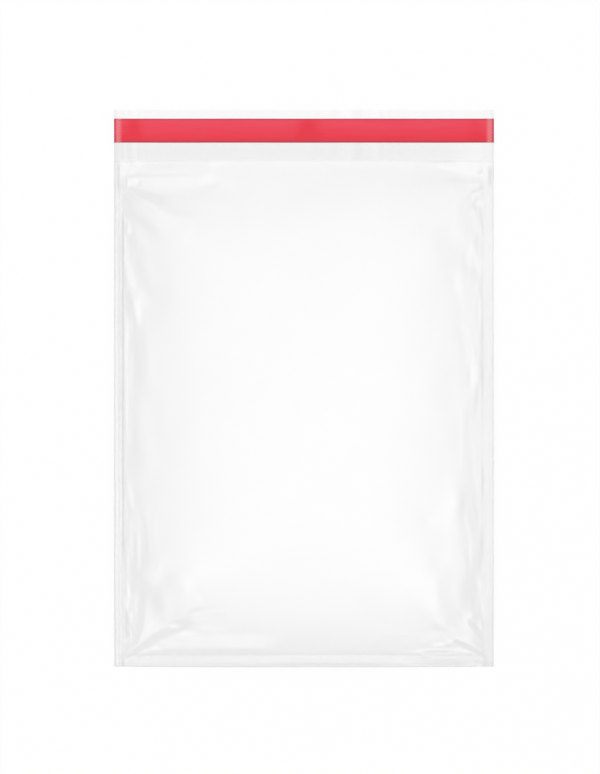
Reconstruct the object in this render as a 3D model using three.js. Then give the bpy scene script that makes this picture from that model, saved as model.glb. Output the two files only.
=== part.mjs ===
// Self-seal bag of clear film, lying on its back with the pocket puffed and the flap open.
// One sheet is folded across the bottom and heat-welded down both sides. The back panel runs on past the
// mouth as a flap, which carries a glue band under a red release liner.
// Millimetres, +Z up. +Y runs from the bottom fold to the flap, and the origin is on the table under the
// middle of the bag.

import * as THREE from 'three';
import { ParametricGeometry } from 'three/addons/geometries/ParametricGeometry.js';
import { mergeGeometries, mergeVertices } from 'three/addons/utils/BufferGeometryUtils.js';

// Cut sizes of the sheet
const BAG_WIDTH = 300; // over both side welds
const POCKET_LENGTH = 400; // bottom fold to the mouth edge of the front panel
const FLAP_LENGTH = 40; // back panel past the mouth edge
const FILM_THICKNESS = 0.08;
const WELD_WIDTH = 8; // heat-welded strip down each side

// Closure across the flap
const LINER_WIDTH = 19;
const LINER_THICKNESS = 0.1;
const LINER_SETBACK = 7; // free edge of the flap to the liner
const GLUE_MARGIN = 2; // dry edge of the liner beside the glue, there to get a nail under
const GLUE_THICKNESS = 0.12;

// Puffed pocket
const PUFF_HEIGHT = 16; // front panel over back panel at the crown
const MOUTH_GAPE = 9.5; // the same at the middle of the mouth
const EDGE_SHARE = 0.35; // share of the puff that comes up close beside the welds and the fold
const EDGE_RUN = 28;
const SIDE_SHOULDER = 140; // run from a side weld to the level crown
const BOTTOM_SHOULDER = 150; // run from the fold band to the level crown
const MOUTH_SHOULDER = 130; // run from the mouth edge to the level crown
const SHOULDER_POWER = 3; // 1 is a plain slope, higher climbs soon and levels off early
const HIP_ROUNDING = 0.08; // 0 is a sharp crease where two slopes meet, higher rounds it off

// Pressed band along the bottom fold
const FOLD_BAND = 9;
const FOLD_BAND_GAPE = 0.6; // front panel over back panel where the band ends

// Side welds and bottom fold, which the puffed pocket lifts off the table between the corners
const SEAM_LIFT = 4;
const FOLD_LIFT = 3;
const LIFT_RUN = 90; // length over which a weld or the fold leaves the table
const LIFT_REACH = 30; // width of back panel that rises with it

// Puckers of the front panel beside the welds: distances below the mouth edge and in from the weld, length
// along the weld and height, -1 for the left side and 1 for the right
const PUCKER_WIDTH = 9;
const PUCKERS = [
  { side: -1, below: 101, inset: 9, length: 25, height: 1.4 },
  { side: -1, below: 214, inset: 12, length: 30, height: 0.7 },
  { side: -1, below: 326, inset: 19, length: 15, height: 1.2 },
  { side: 1, below: 84, inset: 8, length: 13, height: 0.9 },
  { side: 1, below: 175, inset: 9, length: 20, height: 1.3 },
  { side: 1, below: 276, inset: 22, length: 24, height: 1.4 },
];

// Distance from the welds and from the fold over which gathers come up out of the flat
const GATHER_RUN = 16;

// Tucks of the front panel, ridges from the welds below the mouth towards the middle
const TUCK_HEIGHT = 1.6;
const TUCK_WIDTH = 8;
const TUCK_START = 16; // mouth edge to the tuck, along the weld
const TUCK_ACROSS = 46;
const TUCK_DOWN = 34;

// Flap, which curls up a little to the liner and waves across the bag
const FLAP_RISE = 1.2;
const FLAP_LIP_DROOP = 0.4; // free edge under the liner's edge
const FLAP_WAVE_HEIGHT = 0.4;
const FLAP_WAVES = 3;

// Grid of the sheet
const COLUMNS = 26;
const ROWS = 34;
const BAND_ROWS = 3;
const FLAP_ROWS = 3; // mouth edge to the liner
const CROWDING = 0.55; // 0 is an even grid, 1 crowds the lines hardest towards the edges

const HALF_WIDTH = BAG_WIDTH / 2;
const WELD_X = HALF_WIDTH - WELD_WIDTH;
const TOP_Y = (POCKET_LENGTH + FLAP_LENGTH) / 2;
const FOLD_Y = -TOP_Y;
const MOUTH_Y = FOLD_Y + POCKET_LENGTH;
const INNER_FOLD_Y = FOLD_Y + FILM_THICKNESS;
const BAND_Y = FOLD_Y + FOLD_BAND;
const LINER_TOP_Y = TOP_Y - LINER_SETBACK;
const LINER_LOW_Y = LINER_TOP_Y - LINER_WIDTH;

const { clamp, lerp, smoothstep } = THREE.MathUtils;

// Film that leaves an edge at a slope and flattens out over a run
const shoulder = (distance, run) => 1 - (1 - clamp(distance / run, 0, 1)) ** SHOULDER_POWER;

// The same with a steeper foot
const rise = (distance, run) =>
  lerp(shoulder(distance, run), shoulder(distance, EDGE_RUN), EDGE_SHARE);

// Hip where two slopes meet: the lower of the two, with the crease between them rounded off, 1 at the crown
function hip(p, q) {
  const lower = p + q - Math.sqrt((p - q) ** 2 + HIP_ROUNDING * p * q);
  return lower / (2 - Math.sqrt(HIP_ROUNDING));
}

// Ridge that runs from a weld into the front panel, dying away towards its far end
function tuckHeight(fromWeld, fromMouth) {
  const line = new THREE.Vector2(TUCK_ACROSS, TUCK_DOWN);
  const point = new THREE.Vector2(fromWeld, fromMouth - TUCK_START);
  const along = clamp(point.dot(line) / line.lengthSq(), 0, 1);
  const aside = point.distanceTo(line.multiplyScalar(along));
  return TUCK_HEIGHT * (1 - along) * Math.exp(-((aside / TUCK_WIDTH) ** 2));
}

// Long blisters where the film gathers beside a weld
function puckerHeight(x, fromWeld, fromMouth) {
  return PUCKERS.filter(({ side }) => side === Math.sign(x)).reduce((sum, pucker) => {
    const lengthwise = (fromMouth - pucker.below) / pucker.length;
    const crosswise = (fromWeld - pucker.inset) / PUCKER_WIDTH;
    return sum + pucker.height * Math.exp(-(lengthwise ** 2) - crosswise ** 2);
  }, 0);
}

// Rise of the back panel towards the welds and the fold, none at the corners and at the mouth
function edgeLift(x, y) {
  const fromWeld = Math.max(WELD_X - Math.abs(x), 0);
  const fromFold = y - FOLD_Y;
  const alongWeld = smoothstep(fromFold, 0, LIFT_RUN) * smoothstep(MOUTH_Y - y, 0, LIFT_RUN);
  const alongFold = smoothstep(fromWeld, 0, LIFT_RUN);
  const weldLift = SEAM_LIFT * alongWeld * (1 - shoulder(fromWeld, LIFT_REACH));
  return weldLift + FOLD_LIFT * alongFold * (1 - shoulder(fromFold, LIFT_REACH));
}

// Clear height of the pocket, 0 at the welds and at the fold
function pocketGap(x, y) {
  const fromWeld = Math.max(WELD_X - Math.abs(x), 0);
  const fromFold = Math.max(y - INNER_FOLD_Y, 0);
  const fromMouth = MOUTH_Y - y;
  const side = rise(fromWeld, SIDE_SHOULDER);
  const band = (FOLD_BAND_GAPE / PUFF_HEIGHT) * clamp(fromFold / (BAND_Y - INNER_FOLD_Y), 0, 1);
  const bottom = band + (1 - FOLD_BAND_GAPE / PUFF_HEIGHT) * rise(y - BAND_Y, BOTTOM_SHOULDER);
  const crown = lerp(MOUTH_GAPE, PUFF_HEIGHT, shoulder(fromMouth, MOUTH_SHOULDER));
  const gathers = puckerHeight(x, fromWeld, fromMouth) + tuckHeight(fromWeld, fromMouth);
  const loose = shoulder(Math.min(fromWeld, fromFold), GATHER_RUN);
  return crown * hip(side, bottom) + gathers * loose;
}

// Waves of the flap, the same all the way up it so that the closure lies flat on it
function flapWave(x) {
  return (FLAP_WAVE_HEIGHT / 2) * (1 - Math.cos((2 * Math.PI * FLAP_WAVES * x) / BAG_WIDTH));
}

// Curl of the flap, level under the liner
function flapCurl(y) {
  const droop = FLAP_LIP_DROOP * clamp((y - LINER_TOP_Y) / LINER_SETBACK, 0, 1);
  return FLAP_RISE * smoothstep(y, MOUTH_Y, LINER_LOW_Y) - droop;
}

// Faces of the sheet, as heights over the table
function backOuter(x, y) {
  const waving = flapWave(x) * smoothstep(y, MOUTH_Y - LIFT_RUN, MOUTH_Y);
  return edgeLift(x, y) + waving + flapCurl(y);
}
const backInner = (x, y) => backOuter(x, y) + FILM_THICKNESS;
const frontInner = (x, y) => backInner(x, y) + pocketGap(x, y);
const frontOuter = (x, y) => frontInner(x, y) + FILM_THICKNESS;

// Lines of the grid from one edge to another, crowded towards both
function gridLines(start, end, count) {
  return Array.from({ length: count + 1 }, (_, i) => {
    const even = (2 * i) / count - 1;
    const crowded = lerp(even, Math.sin((even * Math.PI) / 2), CROWDING);
    return lerp(start, end, (crowded + 1) / 2);
  });
}

function evenLines(start, end, count) {
  return Array.from({ length: count + 1 }, (_, i) => lerp(start, end, i / count));
}

// A face over a grid: it looks up where the columns run to the right, and down where they run to the left
function face(columns, rows, height) {
  const place = (u, v, point) => {
    const x = columns[Math.round(u * (columns.length - 1))];
    const y = rows[Math.round(v * (rows.length - 1))];
    point.set(x, y, height(x, y));
  };
  return new ParametricGeometry(place, columns.length - 1, rows.length - 1);
}

// An edge wall along grid points, through the given heights from the lowest up. It looks to the right of the
// way that the points run.
function wall(points, heights) {
  const place = (u, v, point) => {
    const [x, y] = points[Math.round(u * (points.length - 1))];
    point.set(x, y, heights[Math.round(v * (heights.length - 1))](x, y));
  };
  return new ParametricGeometry(place, points.length - 1, heights.length - 1);
}

const across = (columns, y) => columns.map((x) => [x, y]);
const along = (rows, x) => rows.map((y) => [x, y]);
const reversed = (lines) => [...lines].reverse();

// One closed body from its faces, with the points that they share made one
function closedBody(faces) {
  const joined = mergeGeometries(faces);
  joined.deleteAttribute('normal');
  joined.deleteAttribute('uv');
  const body = mergeVertices(joined);
  body.computeVertexNormals();
  return body;
}

const pocketColumns = gridLines(-WELD_X, WELD_X, COLUMNS);
const columns = [-HALF_WIDTH, ...pocketColumns, HALF_WIDTH];
const bandRows = evenLines(INNER_FOLD_Y, BAND_Y, BAND_ROWS);
const pocketRows = [...bandRows, ...gridLines(BAND_Y, MOUTH_Y, ROWS).slice(1)];
const panelRows = [FOLD_Y, ...pocketRows];
const flapRows = [...evenLines(MOUTH_Y, LINER_LOW_Y, FLAP_ROWS), LINER_TOP_Y, TOP_Y];

function filmGeometry() {
  const doubled = [backOuter, backInner, frontOuter];
  const single = [backOuter, backInner];
  return closedBody([
    face(columns, flapRows, backInner),
    face(reversed(columns), [...panelRows, ...flapRows.slice(1)], backOuter),
    face(pocketColumns, pocketRows, backInner),
    face(reversed(pocketColumns), pocketRows, frontInner),
    face(columns, panelRows, frontOuter),
    wall(across(columns, FOLD_Y), doubled),
    wall(along(panelRows, HALF_WIDTH), doubled),
    wall(along(reversed(panelRows), -HALF_WIDTH), doubled),
    wall(across(reversed(columns), MOUTH_Y), [frontInner, frontOuter]),
    wall(along(flapRows, HALF_WIDTH), single),
    wall(along(reversed(flapRows), -HALF_WIDTH), single),
    wall(across(reversed(columns), TOP_Y), single),
  ]);
}

// A strip of tape that follows the flap from side to side
function tapeGeometry(startY, endY, under, thickness) {
  const rows = [startY, endY];
  const low = (x, y) => backInner(x, y) + under;
  const high = (x, y) => backInner(x, y) + under + thickness;
  return closedBody([
    face(columns, rows, high),
    face(reversed(columns), rows, low),
    wall(across(columns, startY), [low, high]),
    wall(along(rows, HALF_WIDTH), [low, high]),
    wall(across(reversed(columns), endY), [low, high]),
    wall(along(reversed(rows), -HALF_WIDTH), [low, high]),
  ]);
}

const clearFilm = new THREE.MeshStandardMaterial({
  color: 0xf1f4f5, roughness: 0.08, metalness: 0, transparent: true, opacity: 0.3,
});
const clearGlue = new THREE.MeshStandardMaterial({ color: 0xefe9d8, roughness: 0.45, metalness: 0 });
const redLiner = new THREE.MeshStandardMaterial({ color: 0xe0465c, roughness: 0.35, metalness: 0 });

const bagFilm = new THREE.Mesh(filmGeometry(), clearFilm);
bagFilm.name = 'bag_film';

const adhesiveStrip = new THREE.Mesh(
  tapeGeometry(LINER_LOW_Y + GLUE_MARGIN, LINER_TOP_Y - GLUE_MARGIN, 0, GLUE_THICKNESS),
  clearGlue,
);
adhesiveStrip.name = 'adhesive_strip';

const releaseLiner = new THREE.Mesh(
  tapeGeometry(LINER_LOW_Y, LINER_TOP_Y, GLUE_THICKNESS, LINER_THICKNESS),
  redLiner,
);
releaseLiner.name = 'release_liner';

const bag = new THREE.Group();
bag.name = 'self_seal_bag';
bag.add(bagFilm, adhesiveStrip, releaseLiner);

export default bag;
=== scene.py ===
"""Looks of a self-seal film bag: clear film, glue band and red release liner, in a plain white studio."""

import logging
import math
from dataclasses import dataclass, field
from enum import Enum

import bpy
import numpy as np
from bpy.types import Material, Node, NodeSocket, NodeTree, Object
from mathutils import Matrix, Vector


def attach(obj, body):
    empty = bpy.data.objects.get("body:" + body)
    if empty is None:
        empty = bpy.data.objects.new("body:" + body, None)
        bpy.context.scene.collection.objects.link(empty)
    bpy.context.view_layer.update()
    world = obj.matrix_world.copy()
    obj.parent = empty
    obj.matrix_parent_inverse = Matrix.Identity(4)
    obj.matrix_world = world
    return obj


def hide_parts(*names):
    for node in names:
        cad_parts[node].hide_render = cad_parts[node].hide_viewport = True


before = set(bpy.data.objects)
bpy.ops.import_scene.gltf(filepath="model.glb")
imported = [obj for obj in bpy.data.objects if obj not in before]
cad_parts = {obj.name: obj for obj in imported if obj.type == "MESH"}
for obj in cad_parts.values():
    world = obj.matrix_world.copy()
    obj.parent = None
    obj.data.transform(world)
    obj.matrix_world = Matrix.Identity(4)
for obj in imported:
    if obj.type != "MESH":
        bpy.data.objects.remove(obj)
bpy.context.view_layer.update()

logging.basicConfig(level=logging.INFO, format="%(message)s")
LOG = logging.getLogger("bag")

MM = 0.001
BODY = "root"
Array = np.ndarray
Line = tuple[tuple[float, float], ...]
Width = float | tuple[float, float]
CREASE_ANGLE = math.radians(60.0)
# Step of the fine lines that a grid's lines are counted on, in mm
FINE_STEP = 0.05
# Stretch that reaches past both ends of the bag, in mm
WHOLE_BAG = (-400.0, -300.0, 300.0, 400.0)
# Random values along each side of a waviness's table
WAVE_CELLS = 64
# Sockets of a colour mix node by number, because its sockets for other kinds have the same names
MIX_SHARE, MIX_FIRST, MIX_SECOND, MIX_RESULT = 0, 6, 7, 2


class Slot(Enum):
    """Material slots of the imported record."""

    FILM = "clear_film"
    GLUE = "clear_glue"
    LINER = "red_liner"


class Lie(Enum):
    """How a pleat's line lies."""

    FORM = "follows the puffed form"
    FACET = "level from end to end"


class Side(Enum):
    """Long sides of the bag, as signs of x."""

    LEFT = -1
    RIGHT = 1


def linear(code: str) -> tuple[float, float, float, float]:
    """Turns a colour to linear light.

    Args:
        code: sRGB colour as six hex digits.

    Returns:
        Red, green, blue and an alpha of 1.
    """
    parts = [int(code[i:i + 2], 16) / 255 for i in (0, 2, 4)]
    red, green, blue = (c / 12.92 if c <= 0.04045 else ((c + 0.055) / 1.055) ** 2.4 for c in parts)
    return red, green, blue, 1.0


def add_node(tree: NodeTree, kind: str, settings: dict | None = None,
             sockets: dict | None = None) -> Node:
    """Adds a node with its settings and links.

    Args:
        tree: Node tree that gets the node.
        kind: Node type.
        settings: Node properties by name.
        sockets: Inputs by name or number: a value, or an output socket to link from.

    Returns:
        The new node.
    """
    node = tree.nodes.new(kind)
    for name, value in (settings or {}).items():
        setattr(node, name, value)
    for key, value in (sockets or {}).items():
        if isinstance(value, NodeSocket):
            tree.links.new(value, node.inputs[key])
        else:
            node.inputs[key].default_value = value
    return node


def new_material(name: str) -> tuple[Material, NodeTree, Node]:
    """Makes a material with nodes.

    Args:
        name: Name of the material.

    Returns:
        The material, its node tree and its shader.
    """
    material = bpy.data.materials.new(name)
    material.use_nodes = True
    tree = material.node_tree
    return material, tree, tree.nodes["Principled BSDF"]


def smooth(value: Array, low: float, high: float) -> Array:
    """Smooth step from 0 at low to 1 at high."""
    share = np.clip((value - low) / (high - low), 0, 1)
    return share * share * (3 - 2 * share)


def stretch(value: Array, start: float, full: float, fading: float, end: float) -> Array:
    """Smooth stretch, 1 from full to fading and 0 outside start and end."""
    return smooth(value, start, full) * smooth(value, end, fading)


def bell(value: Array, middle: float, width: float) -> Array:
    """Bell curve, 1 at its middle and a little over a third at its width from there."""
    return np.exp(-((value - middle) / width) ** 2)


@dataclass(frozen=True)
class Waviness:
    """Soft random waviness, the same for the same seed.

    Pitch is the distance between its random values along the bag, in mm. Across the bag they stand closer
    by the factor narrow, and where that is 0 the waviness is the same all across.
    """

    height: float
    pitch: float
    seed: int
    narrow: float = 1.0

    def at(self, x: Array, y: Array) -> Array:
        """Gives the waviness at any places.

        Args:
            x: Places across, in mm.
            y: Places along, in mm.

        Returns:
            Values from minus its height to its height.
        """
        table = np.random.default_rng(self.seed).uniform(-1, 1, (WAVE_CELLS, WAVE_CELLS))
        across, along = (v / self.pitch + WAVE_CELLS / 2 for v in (x * self.narrow, y))
        column, row = np.floor(across).astype(int), np.floor(along).astype(int)
        share_x, share_y = smooth(across - column, 0, 1), smooth(along - row, 0, 1)

        def corner(right: int, up: int) -> Array:
            """Random values at one corner of each place's cell."""
            return table[(column + right) % WAVE_CELLS, (row + up) % WAVE_CELLS]

        near = corner(0, 0) * (1 - share_x) + corner(1, 0) * share_x
        far = corner(0, 1) * (1 - share_x) + corner(1, 1) * share_x
        return self.height * (near * (1 - share_y) + far * share_y)


@dataclass(frozen=True)
class FilmFinish:
    """Low-density polyethylene film, blown: clear and glossy, greyer where heat stressed it and with
    painted shade at edges and creases.
    """

    clear: str = "F9F9F9"
    # Grey of heat-stressed film, also the painted shade along edges, fold, mouth and creases
    greyed_and_shaded: str = "CBCBCB"
    roughness: float = 0.05
    ior: float = 1.54
    die_line_pitch: float = 2.4
    die_line_depth: float = 0.004
    die_line_stretch: float = 0.02

    def material(self) -> Material:
        """Makes the film's material, which reads the sheet's own attribute of heat greying and painted
        shade.
        """
        material, tree, shader = new_material("polyethylene_film_blown")
        greying_and_painted_shade = add_node(tree, "ShaderNodeAttribute", {"attribute_name": "greying_and_painted_shade"})
        tint = add_node(tree, "ShaderNodeMix", {"data_type": "RGBA"}, {
            MIX_SHARE: greying_and_painted_shade.outputs["Fac"], MIX_FIRST: linear(self.clear),
            MIX_SECOND: linear(self.greyed_and_shaded)})
        place = add_node(tree, "ShaderNodeTexCoord")
        # Lines that the die leaves along the film, drawn coarser than the real ones so that they show
        along = add_node(tree, "ShaderNodeMapping", None,
                         {"Vector": place.outputs["Object"], "Scale": (1.0, self.die_line_stretch, 1.0)})
        lines = add_node(tree, "ShaderNodeTexNoise", {"noise_dimensions": "3D"}, {
            "Vector": along.outputs[0], "Scale": 1 / (self.die_line_pitch * MM), "Detail": 2.0})
        bump = add_node(tree, "ShaderNodeBump", None, {
            "Strength": 1.0, "Distance": self.die_line_depth * MM, "Height": lines.outputs["Fac"]})
        tree.links.new(tint.outputs[MIX_RESULT], shader.inputs["Base Color"])
        tree.links.new(bump.outputs[0], shader.inputs["Normal"])
        shader.inputs["Transmission Weight"].default_value = 1.0
        shader.inputs["IOR"].default_value = self.ior
        shader.inputs["Roughness"].default_value = self.roughness
        return material


@dataclass(frozen=True)
class GlueFinish:
    """Hot-melt rubber glue, roller-coated: clear with a yellow cast and a wet, uneven surface."""

    colour: str = "EFE6CE"
    roughness: float = 0.3
    streak_pitch: float = 1.5
    streak_depth: float = 0.05
    streak_strength: float = 0.4

    def material(self) -> Material:
        """Makes the glue's material."""
        material, tree, shader = new_material("hot_melt_glue_roller_coated")
        place = add_node(tree, "ShaderNodeTexCoord")
        streaks = add_node(tree, "ShaderNodeTexNoise", None,
                           {"Vector": place.outputs["Object"], "Scale": 1 / (self.streak_pitch * MM)})
        bump = add_node(tree, "ShaderNodeBump", None, {
            "Strength": self.streak_strength, "Distance": self.streak_depth * MM,
            "Height": streaks.outputs["Fac"]})
        tree.links.new(bump.outputs[0], shader.inputs["Normal"])
        shader.inputs["Base Color"].default_value = linear(self.colour)
        shader.inputs["Roughness"].default_value = self.roughness
        return material


@dataclass(frozen=True)
class LinerFinish:
    """Polyester liner, silicone-coated: a red film with a satin gloss, cloudy along its length."""

    red: str = "EE1636"
    # Pale red of the liner's cloudy tone, also of its painted lighter top
    pale: str = "F03E57"
    pressed: str = "F08A93"
    # Dark red of the painted shade along the rims, also used for the darker worn patches
    edge: str = "B8283F"
    roughness: float = 0.34
    cloud_length: float = 45.0
    cloud_width: float = 5.0
    cloud_range: tuple[float, float] = (0.3, 0.7)
    cloud_share: float = 0.35
    lit_top_share: float = 0.75

    def material(self) -> Material:
        """Makes the liner's material, which reads its own attributes: painted rim shade, a painted lighter
        top, press marks.
        """
        material, tree, shader = new_material("polyester_liner_silicone_coated")
        place = add_node(tree, "ShaderNodeTexCoord")
        scale = (1 / (self.cloud_length * MM), 1 / (self.cloud_width * MM), 1.0)
        along = add_node(tree, "ShaderNodeMapping", None,
                         {"Vector": place.outputs["Object"], "Scale": scale})
        clouds = add_node(tree, "ShaderNodeTexNoise", None,
                          {"Vector": along.outputs[0], "Scale": 1.0, "Detail": 3.0, "Roughness": 0.55})
        cloudy = add_node(tree, "ShaderNodeMapRange", None, {
            "Value": clouds.outputs["Fac"], "To Max": self.cloud_share,
            "From Min": self.cloud_range[0], "From Max": self.cloud_range[1]})
        # Painted light: the liner is mixed paler towards its top, as if that part faced the lamp, less
        # where worn
        lit_top_and_wear = add_node(tree, "ShaderNodeAttribute", {"attribute_name": "lit_top_and_wear"})
        level = add_node(tree, "ShaderNodeMath", {"operation": "MULTIPLY_ADD", "use_clamp": True},
                         {0: lit_top_and_wear.outputs["Fac"], 1: self.lit_top_share, 2: cloudy.outputs[0]})
        tone = add_node(tree, "ShaderNodeMix", {"data_type": "RGBA"}, {
            MIX_SHARE: level.outputs[0], MIX_FIRST: linear(self.red), MIX_SECOND: linear(self.pale)})
        # Painted shade along the rims from the edge attribute, then the press marks
        for name, colour in (("edge", self.edge), ("press", self.pressed)):
            share = add_node(tree, "ShaderNodeAttribute", {"attribute_name": name})
            tone = add_node(tree, "ShaderNodeMix", {"data_type": "RGBA"}, {
                MIX_SHARE: share.outputs["Fac"], MIX_FIRST: tone.outputs[MIX_RESULT],
                MIX_SECOND: linear(colour)})
        tree.links.new(tone.outputs[MIX_RESULT], shader.inputs["Base Color"])
        shader.inputs["Roughness"].default_value = self.roughness
        return material


@dataclass(frozen=True)
class Stroke:
    """A pleat pressed into the front panel: a strip that follows a line and lies at its own tilt across it.

    A level strip mirrors the light above and shows pale, a tilted one mirrors the dark round it and shows
    grey. Width is from the line to the strip's side, one value or one for each end of the line. Hold is how
    hard the strip is pressed, soft the share of its width that eases out, and grey its painted crease
    shade.
    """

    line: Line
    width: Width
    tilt: float
    hold: float
    soft: float
    lie: Lie = Lie.FORM
    grey: float = 0.0


def facet(line: Line, width: Width, hold: float, soft: float) -> Stroke:
    """A strip that is level across its line and from end to end of it."""
    return Stroke(line, width, 0.0, hold, soft, Lie.FACET)


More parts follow.
